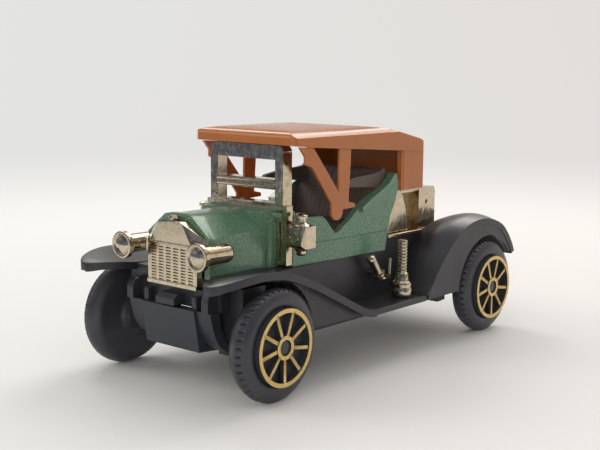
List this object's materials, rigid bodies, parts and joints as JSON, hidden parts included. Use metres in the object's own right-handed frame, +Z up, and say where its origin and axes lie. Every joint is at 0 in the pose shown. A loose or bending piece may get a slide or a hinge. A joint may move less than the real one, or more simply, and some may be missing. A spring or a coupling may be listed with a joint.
{
  "type": "diecast collector car",
  "caption": "Small diecast vintage car with a fixed hood, open cabin, plated radiator, lamps and windscreen, swept fenders and free-rolling spoked wheels.",
  "frame": {"origin": "centre of the car's bounding box in plan, on the ground under the tyres", "axes": "+X to the front of the car, +Y to its left side, +Z up"},
  "size_m": [0.075, 0.0354, 0.037],
  "materials": {
    "green_enamel": "metallic green enamel on zinc alloy",
    "tan_plastic": "satin moulded plastic",
    "plated_plastic": "vacuum plated, pale gold",
    "gold_spokes": "gold foil on moulded plastic",
    "black_plastic": "glossy moulded plastic",
    "base_plastic": "satin moulded plastic",
    "dark_plastic": "dull moulded plastic",
    "wheel_plastic": "satin moulded plastic",
    "rivet_metal": "bare metal, spun over",
    "axle_steel": "drawn wire"
  },
  "bodies": {
    "car": {"body_casting": "green_enamel", "seat": "dark_plastic", "radiator": "plated_plastic", "radiator_cap": "plated_plastic", "headlamp_left": "plated_plastic", "headlamp_right": "plated_plastic", "windscreen": "plated_plastic", "side_lamp_left": "plated_plastic", "side_lamp_right": "plated_plastic", "hood": "tan_plastic", "rear_curtain": "tan_plastic", "hood_strut_left": "tan_plastic", "hood_strut_right": "tan_plastic", "rear_deck": "plated_plastic", "fuel_tank": "plated_plastic", "trunk": "plated_plastic", "bulb_horn": "plated_plastic", "brake_lever": "plated_plastic", "chassis": "black_plastic", "front_fender_left": "black_plastic", "front_fender_right": "black_plastic", "running_board_left": "black_plastic", "running_board_right": "black_plastic", "rear_fender_left": "black_plastic", "rear_fender_right": "black_plastic", "base_plate": "base_plastic", "rivet_front": "rivet_metal", "rivet_rear": "rivet_metal"},
    "front_wheels": {"front_axle": "axle_steel", "wheel_front_left": "wheel_plastic", "wheel_front_right": "wheel_plastic", "spokes_front_left": "gold_spokes", "spokes_front_right": "gold_spokes"},
    "rear_wheels": {"rear_axle": "axle_steel", "wheel_rear_left": "wheel_plastic", "wheel_rear_right": "wheel_plastic", "spokes_rear_left": "gold_spokes", "spokes_rear_right": "gold_spokes"}
  },
  "joints": [
    {"name": "front_wheels_roll", "type": "hinge", "parent": "car", "child": "front_wheels", "pos_m": [0.0272, 0, 0.008], "axis": [0, 1, 0], "continuous": true},
    {"name": "rear_wheels_roll", "type": "hinge", "parent": "car", "child": "rear_wheels", "pos_m": [-0.0282, 0, 0.008], "axis": [0, 1, 0], "continuous": true}
  ]
}
